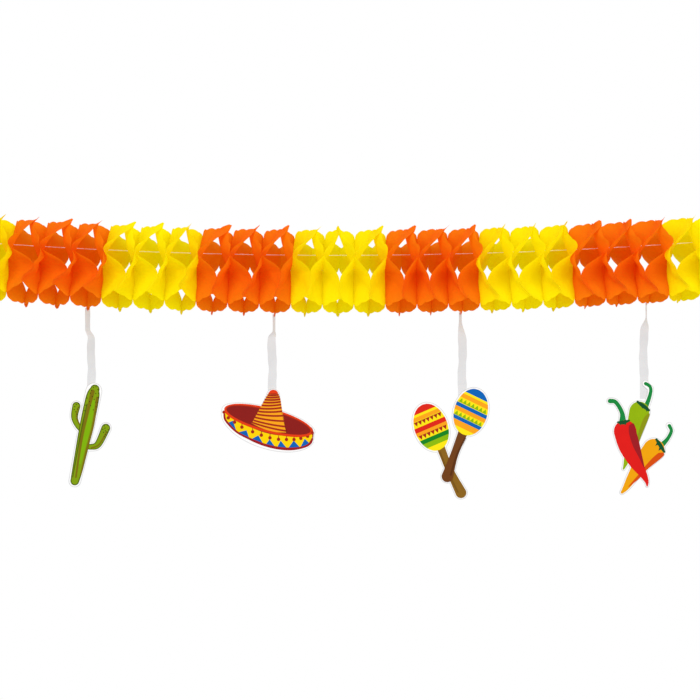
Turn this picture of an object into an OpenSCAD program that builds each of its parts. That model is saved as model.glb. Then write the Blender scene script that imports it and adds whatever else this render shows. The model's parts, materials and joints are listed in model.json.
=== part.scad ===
// Paper garland: die-cut tissue sheets glued into an open honeycomb, hung on a thread,
// with paper ribbons that carry printed cards. All sizes are in millimetres.
// +X runs along the garland, the front faces -Y and +Z is up.

/* [Honeycomb] */

// distance between the middles of neighbouring cells of the opened honeycomb
cell_pitch = 40; // [34:1:46]

// cells of each colour section
section_cells = 3; // [2:1:3]

// cells of the plain yellow section at each end
end_cells = 2; // [1:1:2]

// rise of the ends of the paper above its middle
sag = 20; // [10:1:40]

/* [Sheet] */

// radius of a sheet at the points of its petals
tip_r = 65; // [60:1:72]

// radius that the round part of a petal comes to
petal_r = 53; // [52:0.5:56]

// radius of a sheet beside the notches between its petals
lobe_r = 50.5; // [49:0.5:52]

// radius of a sheet at those notches
notch_r = 44.5; // [42:0.5:47]

// angle over which a notch opens on each side
notch_angle = 8; // [6:1:10]

// length of the glue that runs inward from a notch
notch_glue = 8; // [5:1:10]

// height of the thread above the middle of a sheet
thread_height = 20.9; // [17:0.1:24]

// radius of the hole through which the thread passes
hole_r = 1.4; // [1.2:0.1:1.8]

// thickness of the tissue, measured along the garland
sheet_t = 0.3; // [0.2:0.05:0.5]

// angle from a petal's middle to its point, where the glue begins
point_turn = 9; // [6:1:12]

// angle from a petal's middle to the other end of the glue
glue_angle = 7; // [4:1:12]

// radius at which the glue of a petal begins
glue_r = 46; // [44:0.5:48]

// half the angle of the blunt point of a petal
point_angle = 2; // [1.5:0.1:3]

// angle over which a petal's point runs out into its round part
point_spread = 4.5; // [3:0.5:6]

// turn of the sheets about the thread that brings the ribbon points lowest
roll = 17; // [10:1:24]

// sideways lean of the upper points along the garland
tip_lean = 17; // [0:1:20]

/* [Thread] */

// diameter of the thread
thread_d = 1; // [0.8:0.1:1.4]

// thread that shows between the paper and the knot at each end
thread_end = 15; // [10:1:30]

// radius of the thread's end loops to the middle of the thread
loop_r = 7; // [5:0.5:10]

// diameter of the knots
knot_d = 3.2; // [2.4:0.2:4]

/* [Ribbons] */

// width of a ribbon
ribbon_w = 11; // [8:0.5:13]

// thickness of a ribbon
ribbon_t = 0.3; // [0.2:0.05:0.5]

// height between the paper point and the top line of a card
ribbon_drop = 92; // [70:1:120]

// length of ribbon that overlaps the paper point
ribbon_lap = 3; // [2:0.5:4]

// room between the sheet and the ribbon at the end of the point
ribbon_gap = 0.6; // [0.5:0.05:0.8]

// length over which a ribbon turns to the front
ribbon_turn = 34; // [24:1:44]

/* [Cards] */

// size of the printed figures against their drawn size
card_scale = 1; // [0.9:0.01:1.1]

// thickness of the card
card_t = 0.5; // [0.4:0.05:0.8]

// plain margin around a printed figure
card_margin = 1.8; // [1.2:0.1:2.2]

/* [Hidden] */

$fn = 48;

orange = [0.96, 0.37, 0.02];
yellow = [0.98, 0.85, 0.02];
paper_white = [0.93, 0.93, 0.93];

// cells along the garland: two end sections and seven full ones between them
full_sections = 7;
cells = 2 * end_cells + full_sections * section_cells;
paper_half = cells * cell_pitch / 2;

// the middle of a sheet hangs below the thread
sheet_drop = thread_height;

// radius of the arc along which the garland hangs
sag_r = (paper_half * paper_half + sag * sag) / (2 * sag);

// angles from a petal's middle at which the cut edge and the ring inside it have corners
petals = 4;
petal_turn = 360 / petals;
half_petal = petal_turn / 2;
flank = (half_petal + glue_angle) / 2;
edge_steps = [
    -half_petal, -half_petal + notch_angle,
    -point_turn - 2 * point_spread, -point_turn - point_angle, -point_turn + point_angle,
    -point_turn + 2 * point_spread, glue_angle, half_petal - notch_angle
];
ring_steps = [-half_petal, -point_turn, glue_angle, flank];
per_edge = len(edge_steps);
per_ring = len(ring_steps);
edge_count = petals * per_edge;
ring_count = petals * per_ring;

// the ring's corner that belongs to each corner of the cut edge
ring_of_edge = [0, 0, 1, 1, 1, 1, 2, 3];

// the ring's corners around the thread's hole, between the middle of the sheet and a petal at the top
hole_from = per_ring;
hole_corners = 7;

// height of the upper points over the thread and height at which the lean begins
lean_top = tip_r * cos(half_petal - roll) - sheet_drop;
lean_from = -8;

// the points that carry the ribbons, seen from the thread
ribbon_angle = roll - half_petal;
ribbon_y = -tip_r * sin(ribbon_angle);
point_z = -sheet_drop - tip_r * cos(ribbon_angle);

// the cell at the end of each orange section carries a ribbon
ribbon_cells = [for (k = [0 : 2 : full_sections - 1]) end_cells + (k + 1) * section_cells - 1];

// sideways shift and hidden overlap of each ribbon
ribbon_shift = [3.9, -3.5, 1.2, -4.7];
ribbon_behind = [8, 6, 12, 26];

knot_x = paper_half + thread_end;
loop_x = knot_x + knot_d / 2 + loop_r;

figures = ["cactus", "sombrero", "maracas", "chillies"];

sheets = 2 * cells;
function section_of(cell) = floor((cell - end_cells + section_cells) / section_cells);
function is_orange(cell) = section_of(cell) % 2 == 1 && cell >= end_cells && cell < cells - end_cells;
function sheet_name(i) = str(is_orange(floor(i / 2)) ? "orange" : "yellow", "_sheet_", i < 9 ? "0" : "", i + 1);

// height of the thread's arc over its lowest point
function arc_z(x) = sag_r - sqrt(sag_r * sag_r - x * x);

// sideways lean of the front at a place over the thread, which grows with the height and towards the front
function lean_at(y, z) =
    z > lean_from ? tip_lean * pow((z - lean_from) / (lean_top - lean_from), 1.4) * max(0, -y) / ribbon_y : 0;

// a point of the straight garland brought to its hanging place
function hung(p) =
    let (x = p[0] + lean_at(p[1], p[2]))
    [x, p[1], p[2] + arc_z(x)];

// middle of a cell along the garland
function cell_x(cell) = (cell - (cells - 1) / 2) * cell_pitch;

// turn from straight down of the middle of a petal
function petal_middle(p) = half_petal + roll + point_turn + p * petal_turn;

// radius of the cut edge at an angle from a petal's middle, with the point beside that middle
function round_r(a) = lobe_r + (petal_r - lobe_r) * cos(2 * a);
function notched(a) = max(0, 1 - (half_petal - abs(a)) / notch_angle);
function edge_r(a) =
    let (off = abs(a + point_turn))
    round_r(a)
    - (lobe_r - notch_r) * notched(a)
    + (tip_r - petal_r) * (off <= point_angle ? 1 : exp(-off / point_spread));

// share of half a cell by which a sheet stands from the middle of its cell: none along the glue, all at the notches
function share(a) =
    let (beyond = a < 0 ? (-a - point_turn) / (half_petal - point_turn) : (a - glue_angle) / (half_petal - glue_angle))
    beyond <= 0 ? 0 : (1 - cos(180 * beyond)) / 2;

// radius of the ring at which the glue begins, on the petals and inside the notches, always within the cut edge
least_glue = 2;
function ring_r(a) = min(edge_r(a) - least_glue, glue_r + (notch_r - notch_glue - glue_r) * share(a));

// share at the thread's hole, on the way from the middle of the sheet to the ring
hole_angle = 180 - petal_middle(1);
hole_share = 1 - (1 - share(hole_angle)) * thread_height / ring_r(hole_angle);

// a place on a sheet as [Y, Z, share]
function place(r, turn, s) = [-r * sin(turn), -sheet_drop - r * cos(turn), s];

// corners of the cut edge, corners of the ring, the middle of the sheet and corners of the thread's hole
edge_places = [
    for (p = [0 : petals - 1], a = edge_steps) place(edge_r(a), petal_middle(p) + a, share(a))
];
ring_places = [
    for (p = [0 : petals - 1], a = ring_steps) place(ring_r(a), petal_middle(p) + a, share(a))
];
middle_place = place(0, 0, 1);
hole_rim = [
    for (k = [0 : hole_corners - 1])
        let (
            out = k == 0 ? middle_place : ring_places[hole_from + k - 1],
            far = sqrt(out[0] * out[0] + out[1] * out[1])
        )
        [out[0] * hole_r / far, out[1] * hole_r / far, hole_share]
];
places = concat(edge_places, ring_places, [middle_place], hole_rim);

// numbers of those corners in the list of places
function ring_at(k) = edge_count + k % ring_count;
middle_at = edge_count + ring_count;
function hole_at(k) = middle_at + 1 + k % hole_corners;
function around_hole(k) = k % hole_corners == 0 ? middle_at : ring_at(hole_from + k % hole_corners - 1);
function ring_beside(k) = ring_at(floor(k / per_edge) * per_ring + ring_of_edge[k % per_edge]);

// triangles of one face of a sheet, seen from +X
face_triangles = concat(
    [for (k = [0 : edge_count - 1]) [k, ring_beside(k), (k + 1) % edge_count]],
    [
        for (k = [0 : edge_count - 1])
            let (m = (k + 1) % edge_count)
            if (ring_beside(k) != ring_beside(m)) [m, ring_beside(k), ring_beside(m)]
    ],
    [
        for (k = [0 : ring_count - 1])
            if (k < hole_from || k >= hole_from + hole_corners - 2) [ring_at(k), middle_at, ring_at(k + 1)]
    ],
    [for (k = [0 : hole_corners - 1]) [around_hole(k), hole_at(k), around_hole(k + 1)]],
    [for (k = [0 : hole_corners - 1]) [around_hole(k + 1), hole_at(k), hole_at(k + 1)]]
);

// triangles around a sheet: both faces, the cut edge and the hole
count = len(places);
function turned_over(t) = [t[0], t[2], t[1]];
sheet_faces = concat(
    [for (t = face_triangles) turned_over(t)],
    [for (t = face_triangles) t + [count, count, count]],
    [
        for (k = [0 : edge_count - 1])
            let (m = (k + 1) % edge_count)
            each [[k, k + count, m + count], [k, m + count, m]]
    ],
    [
        for (k = [0 : hole_corners - 1])
            let (
                a = hole_at(k),
                b = hole_at(k + 1)
            )
            each [[a, b + count, a + count], [a, b, b + count]]
    ]
);

// corners of one face of a sheet, shifted along the garland
function face_points(middle, side, low) = [
    for (p = places)
        let (
            stand = p[2] * (cell_pitch / 2 - sheet_t),
            near = side > 0 ? stand : -stand - sheet_t
        )
        hung([middle + near + (low ? 0 : sheet_t), p[0], p[1]])
];

// one die-cut tissue sheet, waved between its glue lines
module sheet(i) {
    cell = floor(i / 2);
    side = i % 2 == 0 ? -1 : 1;
    low = face_points(cell_x(cell), side, true);
    high = face_points(cell_x(cell), side, false);
    color(is_orange(cell) ? orange : yellow)
        polyhedron(points = concat(low, high), faces = sheet_faces);
}

// end loop of the thread with its knot
module end_loop(side) {
    translate([side * knot_x, 0, arc_z(knot_x)])
        sphere(d = knot_d);
    translate([side * loop_x, 0, arc_z(loop_x)])
        rotate([90, 0, 0])
            rotate_extrude()
                translate([loop_r, 0])
                    circle(d = thread_d);
}

// thread through the holes of all sheets
module thread() {
    half_turn = asin(knot_x / sag_r);
    color(paper_white)
        union() {
            translate([0, 0, sag_r])
                rotate([90, 0, 0])
                    rotate([0, 0, -90 - half_turn])
                        rotate_extrude(angle = 2 * half_turn)
                            translate([sag_r, 0])
                                circle(d = thread_d);
            end_loop(-1);
            end_loop(1);
        }
}

// smooth step from 0 to 1
function ease(u) = let (v = max(0, min(1, u))) v * v * (3 - 2 * v);

// middle of the paper point that carries ribbon n, and the height of the card's top line
function point_at(n) = [cell_x(ribbon_cells[n]), ribbon_y, point_z + arc_z(cell_x(ribbon_cells[n]))];
function card_line(n) = point_at(n)[2] - ribbon_drop;

// middle of ribbon n at a share of its length, with the turn of its width from Y to X
ribbon_steps = 14;
function ribbon_length(n) = ribbon_lap + ribbon_drop + ribbon_behind[n];
function ribbon_down(n, u) = u * ribbon_length(n) - ribbon_lap;
function ribbon_mid(n, u) =
    let (
        down = ribbon_down(n, u),
        turned = ease(down / ribbon_turn),
        start = -sheet_t - ribbon_gap - ribbon_t / 2
    )
    [
        point_at(n)[0] + start + (ribbon_shift[n] - start) * turned,
        ribbon_y - (down > 0 && down < ribbon_drop ? 1.6 * sin(360 * down / ribbon_drop) * turned : 0),
        point_at(n)[2] - down
    ];
function ribbon_angle_at(n, u) = 90 * ease(ribbon_down(n, u) / ribbon_turn);

// the four corners of ribbon n at a share of its length
function ribbon_corners(n, u) =
    let (
        mid = ribbon_mid(n, u),
        a = ribbon_angle_at(n, u),
        wide = [sin(a), cos(a), 0] * ribbon_w / 2,
        deep = [cos(a), -sin(a), 0] * ribbon_t / 2
    )
    [mid - wide - deep, mid + wide - deep, mid + wide + deep, mid - wide + deep];

// triangles along a strip of four corners per step
function strip_faces(n) = concat(
    [[0, 1, 2], [0, 2, 3]],
    [
        for (j = [0 : n - 1], c = [0 : 3])
            let (
                p = 4 * j + c,
                q = 4 * j + (c + 1) % 4
            )
            each c == 2 ? [[p, p + 4, q], [q, p + 4, q + 4]] : [[p, p + 4, q + 4], [p, q + 4, q]]
    ],
    [[4 * n, 4 * n + 2, 4 * n + 1], [4 * n, 4 * n + 3, 4 * n + 2]]
);

// paper ribbon, glued to a paper point at the top and to the back of a card below
module ribbon(n) {
    color(paper_white)
        polyhedron(
            points = [for (j = [0 : ribbon_steps]) each ribbon_corners(n, j / ribbon_steps)],
            faces = strip_faces(ribbon_steps)
        );
}

// smooth curve through points given as [x, y, radius]
curve_steps = 4;
function curve_point(a, b, c, d, t) =
    (2 * b + (c - a) * t + (2 * a - 5 * b + 4 * c - d) * t * t + (3 * b - a - 3 * c + d) * t * t * t) / 2;
function curve(points) =
    let (last = len(points) - 1)
    concat(
        [
            for (k = [0 : last - 1], j = [0 : curve_steps - 1])
                curve_point(
                    points[max(k - 1, 0)], points[k], points[k + 1], points[min(k + 2, last)], j / curve_steps
                )
        ],
        [points[last]]
    );

// heading of a curve at a point, the point beside it, and the round end beyond it
function heading(points, k) =
    let (step = points[min(k + 1, len(points) - 1)] - points[max(k - 1, 0)])
    atan2(step[1], step[0]);
function round_point(p, a) = [p[0] + p[2] * cos(a), p[1] + p[2] * sin(a)];
end_steps = 10;
function round_end(p, from) = [for (j = [1 : end_steps - 1]) round_point(p, from - 180 * j / end_steps)];
function stroke(points) =
    let (last = len(points) - 1)
    concat(
        [for (k = [0 : last]) round_point(points[k], heading(points, k) + 90)],
        round_end(points[last], heading(points, last) + 90),
        [for (k = [last : -1 : 0]) round_point(points[k], heading(points, k) - 90)],
        round_end(points[0], heading(points, 0) - 90)
    );

// flat stroke of changing width, scaled and widened by the card's margin
function widened(p) = [p[0] * card_scale, p[1] * card_scale, p[2] * card_scale + card_margin];
module limb(points) {
    polygon(stroke(curve([for (p = points) widened(p)])));
}

// ellipse or part of one, turned, widened by the card's margin
module turned_ellipse(middle, half_long, half_short, tilt, from = 0, to = 360) {
    long = half_long * card_scale + card_margin;
    short = half_short * card_scale + card_margin;
    steps = 60;
    translate([middle[0] * card_scale, middle[1] * card_scale])
        rotate(tilt)
            polygon([
                for (k = [0 : to - from == 360 ? steps - 1 : steps])
                    let (a = from + (to - from) * k / steps)
                    [long * cos(a), short * sin(a)]
            ]);
}

// a card drawn in its own plane, stood up behind the ribbon's point with its back on the ribbon
module stood_card(n) {
    translate([point_at(n)[0], ribbon_y - ribbon_t / 2, card_line(n)])
        rotate([90, 0, 0])
            for (k = [0 : $children - 1])
                linear_extrude(card_t)
                    children(k);
}

// tall cactus with two arms
module cactus_card() {
    color([0.5, 0.62, 0.08])
        stood_card(0) {
            limb([[7.1, -11.4, 9], [-2, -55, 9], [-17.4, -127, 6.4]]);
            limb([[-15.4, -30.5, 5.3], [-17.6, -46, 4.4], [-10.8, -59.5, 3.6], [-4, -60, 3.2]]);
            limb([[22.5, -59, 5.9], [12.7, -79.5, 4.8], [3.5, -83, 4.2], [-4, -82, 4]]);
        }
}

// wide hat with a tall crown, seen a little from above
module sombrero_card() {
    color([0.84, 0.16, 0.09])
        stood_card(1) {
            turned_ellipse([-8.2, -41.5], 60.5, 15.5, -15);
            turned_ellipse([-8.5, -47], 61.5, 29.5, -18, 180, 360);
            limb([[-2.2, -9.6, 7.2], [-8, -51, 20]]);
            limb([[45.8, -56, 3.4], [46, -66.5, 2.9]]);
        }
}

// two crossed maracas
module maracas_card() {
    color([0.95, 0.66, 0.06])
        stood_card(2) {
            turned_ellipse([-38.9, -51.7], 31.8, 22, 109.7);
            limb([[-26, -79, 5.2], [-15, -107, 5], [-0.5, -136, 7]]);
            turned_ellipse([12.1, -32.3], 31, 22, 74.7);
            limb([[1.5, -60, 6], [-9.2, -87.4, 5], [-18, -115, 7.4]]);
        }
}

// three chilli peppers with hooked stems
module chillies_card() {
    color([0.85, 0.12, 0.1])
        stood_card(3) {
            limb([
                [-11, -42.4, 13], [-18, -68.7, 10], [-25.2, -95.9, 5],
                [-28.8, -109.5, 2.6], [-31.5, -116.2, 1]
            ]);
            limb([[-3.4, -37.9, 3.4], [2.4, -23.3, 2.4], [3.7, -12.4, 2.3]]);
            limb([[2.6, -12, 2.1], [-3.2, -6.2, 2.6]]);
            limb([
                [7.5, -91.4, 14], [-6.1, -106.8, 10.9], [-18.9, -124.9, 6.9],
                [-27.9, -139.4, 4], [-33.3, -146.3, 1.7]
            ]);
            limb([[16.5, -86.7, 4], [25, -78, 2.4], [30.4, -67, 2.2]]);
            limb([[29.9, -66, 2], [27.4, -60.4, 2.7]]);
            limb([
                [-29.3, -67.8, 14.5], [-24.7, -86.8, 12.8], [-16.2, -106.8, 8.7],
                [-7, -121.3, 5.4], [-1.6, -132.1, 2.6], [-1, -137.9, 0.9]
            ]);
            limb([
                [-32.4, -55.1, 4.5], [-33, -45.1, 2.9], [-37, -36.1, 2.6],
                [-42.4, -29.6, 2.6], [-48.7, -28.7, 2.9]
            ]);
        }
}

// the origin is the middle of the left end loop
module in_frame() {
    translate([loop_x, 0, -arc_z(loop_x)])
        children();
}

in_frame() thread();
for (i = [0 : sheets - 1])
    in_frame() sheet(i);
for (n = [0 : len(figures) - 1])
    in_frame() ribbon(n);
in_frame() cactus_card();
in_frame() sombrero_card();
in_frame() maracas_card();
in_frame() chillies_card();
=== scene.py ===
import json
import math

import bpy
import numpy as np
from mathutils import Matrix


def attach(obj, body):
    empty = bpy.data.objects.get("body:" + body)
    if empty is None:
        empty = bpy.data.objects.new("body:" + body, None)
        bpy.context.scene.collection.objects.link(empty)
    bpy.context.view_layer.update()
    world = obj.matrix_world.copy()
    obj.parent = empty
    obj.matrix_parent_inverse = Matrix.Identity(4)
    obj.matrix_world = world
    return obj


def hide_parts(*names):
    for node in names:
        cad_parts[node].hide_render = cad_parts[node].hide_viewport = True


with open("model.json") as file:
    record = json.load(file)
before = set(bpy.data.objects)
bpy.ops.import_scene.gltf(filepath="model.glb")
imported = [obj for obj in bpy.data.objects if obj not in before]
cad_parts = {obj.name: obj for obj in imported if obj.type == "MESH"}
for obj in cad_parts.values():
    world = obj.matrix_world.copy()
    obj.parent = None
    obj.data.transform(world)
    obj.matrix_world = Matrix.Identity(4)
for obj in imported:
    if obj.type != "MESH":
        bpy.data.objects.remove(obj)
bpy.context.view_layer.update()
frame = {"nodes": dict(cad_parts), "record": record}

# Sizes of the part in metres, and angles in degrees
MM = 0.001
LOOP_X = frame["record"]["mounts"][1]["pos_m"][0] / 2
CELLS = 25
PITCH = 40 * MM
TIP_R = 65 * MM
PETAL_R = 53 * MM
LOBE_R = 50.5 * MM
NOTCH_R = 44.5 * MM
NOTCH = 5.0  # half width of a notch, as an angle
SCALLOP = 1.8 * MM  # height of the small waves of the cut edge
SCALLOP_TURN = 12.5  # angle that one such wave takes
SCALLOP_LEVEL = 0.6  # share of a wave's height at which the plain edge runs
HOLE_R = 1.4 * MM
# The sheets are drawn in their opened form: paper doesn't stretch, so a sheet's flat cut has the opened
# sheets' mean
#  surface, which is larger than the area inside their outline
DROP = 20.9 * MM  # from the thread down to a sheet's middle
ROLL = 17.0  # turn of the sheets about their middle
GLUE = 7.0  # angle beside a petal's middle at which its seam ends
GLUE_TURN = 9.0  # angle between a petal's middle and its point
POINT = 1.2  # half width of a point's end, as an angle
SPREAD = 5.6  # angle over which a point runs out
POINT_REACH = 14  # angle over which a point's twist fades
POINT_CROWD = 6  # angle by which the grid is drawn to the points
NOTCH_CROWD = 3  # angle by which the grid is drawn to the points and the notches
STRAIGHT = 0.8  # share of a straight run in the paper's way out from the middle
TOUCH = 0.05 * MM  # by which a sheet passes its cell's side, to meet the next cell
GLUE_GAP = 0.01 * MM  # from a cell's middle to each of its two sheets, at the glue
LEAN_FROM = -8 * MM
LEAN_BLEND = 5 * MM  # depth over which the front's lean blends into the back's
LEAN_POWER = 1.6
SAG = 20 * MM
PAPER_HALF = CELLS * PITCH / 2
CELL_MIDDLES = (np.arange(CELLS) - (CELLS - 1) / 2) * PITCH
SAG_R = (PAPER_HALF ** 2 + SAG ** 2) / (2 * SAG)
LEAN_TOP = TIP_R * math.cos(math.radians(45 - ROLL)) - DROP
THREAD_LOW = -(SAG_R - math.sqrt(SAG_R ** 2 - LOOP_X ** 2))
RIBBON_Y = TIP_R * math.sin(math.radians(45 - ROLL))
POINT_Z = -DROP - TIP_R * math.cos(math.radians(45 - ROLL))
RIBBON_W = 11 * MM
RIBBON_T = 0.3 * MM
RIBBON_DROP = 92 * MM
RIBBON_LAP = 3 * MM
CARD_T = 0.5 * MM
CARD_MARGIN = 1.8
FIGURES = ("cactus", "sombrero", "maracas", "chillies")
# For each figure in turn: its cell, the ribbon's sideways shift and its length behind the card in millimetres,
# the angles at which the ribbon starts and opens, and the start and end of its kink in millimetres
RIBBON_CELLS = (4, 10, 16, 22)
RIBBON_SHIFT = (3.9, -3.5, 1.2, -4.7)
RIBBON_BEHIND = (8, 6, 12, 26)
RIBBON_START = (31, 18, 24, 18)
RIBBON_OPEN = (60, 84, 78, 84)
RIBBON_KINK = ((24, 36), (18, 28), (8, 30), (15, 34))

rng = np.random.default_rng(11)


def ease(u):
    """Smooth step from 0 to 1."""
    v = np.clip(u, 0.0, 1.0)
    return v * v * (3 - 2 * v)


def over(place, start, end):
    """Smooth step from 0 to 1 as a place in metres goes from a start to an end in millimetres."""
    return ease((place - start * MM) / ((end - start) * MM))


def arc_z(x):
    """Height of the thread's circular arc over its lowest point."""
    return SAG_R - np.sqrt(SAG_R ** 2 - x * x)


def to_frame(points):
    """Points measured from the thread's lowest point, moved to the frame, whose origin is the left loop."""
    return points + np.array([LOOP_X, 0.0, THREAD_LOW])


def grid_mesh(name, points, closed=False, down_scale=1.0):
    """A mesh from a grid of points (rows, columns, 3), with quads between neighbours and a UV map over the
    grid, whose rows run from 0 to down_scale. With closed, the last column joins the first."""
    rows, cols = points.shape[:2]
    index = np.arange(rows * cols).reshape(rows, cols)
    right = np.roll(index, -1, axis=1)
    last = cols if closed else cols - 1
    quads = np.stack([index[:-1], right[:-1], right[1:], index[1:]], axis=-1)[:, :last].reshape(-1, 4)
    mesh = bpy.data.meshes.new(name)
    mesh.vertices.add(rows * cols)
    mesh.vertices.foreach_set("co", points.reshape(-1).astype(np.float32))
    mesh.loops.add(len(quads) * 4)
    mesh.loops.foreach_set("vertex_index", quads.reshape(-1).astype(np.int32))
    mesh.polygons.add(len(quads))
    mesh.polygons.foreach_set("loop_start", np.arange(0, len(quads) * 4, 4, dtype=np.int32))
    mesh.polygons.foreach_set("use_smooth", np.ones(len(quads), dtype=bool))
    uv = mesh.uv_layers.new(name="grid")
    column = np.arange(last)[None, :, None] + np.array([0, 1, 1, 0])
    row = np.arange(rows - 1)[:, None, None] + np.array([0, 0, 1, 1])
    across, down = np.broadcast_arrays(column / last, down_scale * row / (rows - 1))
    uv.data.foreach_set("uv", np.stack([across, down], axis=-1).reshape(-1).astype(np.float32))
    mesh.update(calc_edges=True)
    mesh.validate()
    return mesh


def add_piece(name, mesh, material, nodes=()):
    """A piece of the object in the row frame that moves with the root body."""
    piece = bpy.data.objects.new(name, mesh)
    bpy.context.scene.collection.objects.link(piece)
    if material is not None:
        mesh.materials.append(material)
    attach(piece, "root")
    if nodes:
        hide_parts(*nodes)
    return piece


# Materials
def node_material(name):
    """An empty node material, its node tree and its output node."""
    material = bpy.data.materials.new(name)
    material.use_nodes = True
    tree = material.node_tree
    tree.nodes.clear()
    output = tree.nodes.new("ShaderNodeOutputMaterial")
    return material, tree, output


def mottled_colour(tree, colour, scale, amount):
    """Colour socket: a base colour made a little darker in places by noise over the object's coordinates."""
    coords = tree.nodes.new("ShaderNodeTexCoord")
    noise = tree.nodes.new("ShaderNodeTexNoise")
    noise.inputs["Scale"].default_value = scale
    noise.inputs["Detail"].default_value = 4.0
    tree.links.new(coords.outputs["Object"], noise.inputs["Vector"])
    ramp = tree.nodes.new("ShaderNodeMapRange")
    ramp.inputs["From Min"].default_value = 0.3
    ramp.inputs["From Max"].default_value = 0.7
    ramp.inputs["To Min"].default_value = 1.0 - amount
    ramp.inputs["To Max"].default_value = 1.0
    tree.links.new(noise.outputs["Fac"], ramp.inputs["Value"])
    tint = tree.nodes.new("ShaderNodeVectorMath")
    tint.operation = "SCALE"
    tint.inputs[0].default_value = colour
    tree.links.new(ramp.outputs["Result"], tint.inputs["Scale"])
    return tint.outputs["Vector"]


def crinkle(tree, scale, strength, distance, under=None):
    """Normal socket: a paper grain from noise over the object's coordinates, on another one if given."""
    coords = tree.nodes.new("ShaderNodeTexCoord")
    noise = tree.nodes.new("ShaderNodeTexNoise")
    noise.inputs["Scale"].default_value = scale
    noise.inputs["Detail"].default_value = 3.0
    tree.links.new(coords.outputs["Object"], noise.inputs["Vector"])
    bump = tree.nodes.new("ShaderNodeBump")
    bump.inputs["Strength"].default_value = strength
    bump.inputs["Distance"].default_value = distance
    tree.links.new(noise.outputs["Fac"], bump.inputs["Height"])
    if under is not None:
        tree.links.new(under, bump.inputs["Normal"])
    return bump.outputs["Normal"]


def tissue_material(name, front, through, share):
    """Matt tissue: a rough face mixed with light that comes through the sheet."""
    material, tree, output = node_material(name)
    face = tree.nodes.new("ShaderNodeBsdfPrincipled")
    face.inputs["Roughness"].default_value = 0.85
    face.inputs["Specular IOR Level"].default_value = 0.15
    tree.links.new(mottled_colour(tree, front, 60.0, 0.05), face.inputs["Base Color"])
    waves = crinkle(tree, 55.0, 0.5, 0.006)
    tree.links.new(crinkle(tree, 900.0, 0.12, 0.0004, waves), face.inputs["Normal"])
    glow = tree.nodes.new("ShaderNodeBsdfTranslucent")
    glow.inputs["Color"].default_value = (*through, 1.0)
    mix = tree.nodes.new("ShaderNodeMixShader")
    mix.inputs["Fac"].default_value = share
    tree.links.new(face.outputs["BSDF"], mix.inputs[1])
    tree.links.new(glow.outputs["BSDF"], mix.inputs[2])
    tree.links.new(mix.outputs["Shader"], output.inputs["Surface"])
    return material


def plain_material(name, colour, roughness, amount=0.04, scale=120.0, grain=0.08, gloss=0.3):
    """Matt printed card or cotton: one colour with a faint mottle and grain."""
    material, tree, output = node_material(name)
    face = tree.nodes.new("ShaderNodeBsdfPrincipled")
    face.inputs["Roughness"].default_value = roughness
    face.inputs["Specular IOR Level"].default_value = gloss
    tree.links.new(mottled_colour(tree, colour, scale, amount), face.inputs["Base Color"])
    tree.links.new(crinkle(tree, 1200.0, grain, 0.0002), face.inputs["Normal"])
    tree.links.new(face.outputs["BSDF"], output.inputs["Surface"])
    return material


def ribbon_material(name, colour):
    """Thin white crepe: a rough face mixed with light from behind, with painted light that makes it a little
    lighter towards its upper end, and with no light from behind and a painted shade where it lies on its card."""
    material, tree, output = node_material(name)
    place = tree.nodes.new("ShaderNodeUVMap")
    place.uv_map = "grid"
    parts = tree.nodes.new("ShaderNodeSeparateXYZ")
    tree.links.new(place.outputs["UV"], parts.inputs["Vector"])
    # Painted light: the colour is scaled up to 1.24 times towards the ribbon's upper end, fading out by the
    # middle of its drop
    painted_light_fade = tree.nodes.new("ShaderNodeMapRange")
    painted_light_fade.inputs["From Max"].default_value = 0.5
    painted_light_fade.inputs["To Min"].default_value = 1.24
    painted_light_fade.inputs["To Max"].default_value = 1.0
    tree.links.new(parts.outputs["Y"], painted_light_fade.inputs["Value"])
    tint = tree.nodes.new("ShaderNodeVectorMath")
    tint.operation = "SCALE"
    tree.links.new(mottled_colour(tree, colour, 60.0, 0.05), tint.inputs[0])
    lies = tree.nodes.new("ShaderNodeMapRange")
    lies.inputs["From Min"].default_value = 1.0
    lies.inputs["From Max"].default_value = 1.03
    lies.inputs["To Min"].default_value = 0.5
    lies.inputs["To Max"].default_value = 0.0
    tree.links.new(parts.outputs["Y"], lies.inputs["Value"])
    # Painted shade: where the ribbon lies on its card, its colour is darkened to 0.8 times
    painted_shade_on_card = tree.nodes.new("ShaderNodeMath")
    painted_shade_on_card.operation = "MULTIPLY_ADD"
    painted_shade_on_card.inputs[1].default_value = 0.4
    painted_shade_on_card.inputs[2].default_value = 0.8
    tree.links.new(lies.outputs["Result"], painted_shade_on_card.inputs[0])
    painted_light_and_shade = tree.nodes.new("ShaderNodeMath")
    painted_light_and_shade.operation = "MULTIPLY"
    tree.links.new(painted_light_fade.outputs["Result"], painted_light_and_shade.inputs[0])
    tree.links.new(painted_shade_on_card.outputs["Value"], painted_light_and_shade.inputs[1])
    tree.links.new(painted_light_and_shade.outputs["Value"], tint.inputs["Scale"])
    face = tree.nodes.new("ShaderNodeBsdfPrincipled")
    face.inputs["Roughness"].default_value = 0.85
    face.inputs["Specular IOR Level"].default_value = 0.15
    tree.links.new(tint.outputs["Vector"], face.inputs["Base Color"])
    tree.links.new(crinkle(tree, 900.0, 0.12, 0.0004), face.inputs["Normal"])
    glow = tree.nodes.new("ShaderNodeBsdfTranslucent")
    tree.links.new(tint.outputs["Vector"], glow.inputs["Color"])
    mix = tree.nodes.new("ShaderNodeMixShader")
    tree.links.new(lies.outputs["Result"], mix.inputs["Fac"])
    tree.links.new(face.outputs["BSDF"], mix.inputs[1])
    tree.links.new(glow.outputs["BSDF"], mix.inputs[2])
    tree.links.new(mix.outputs["Shader"], output.inputs["Surface"])
    return material


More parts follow.
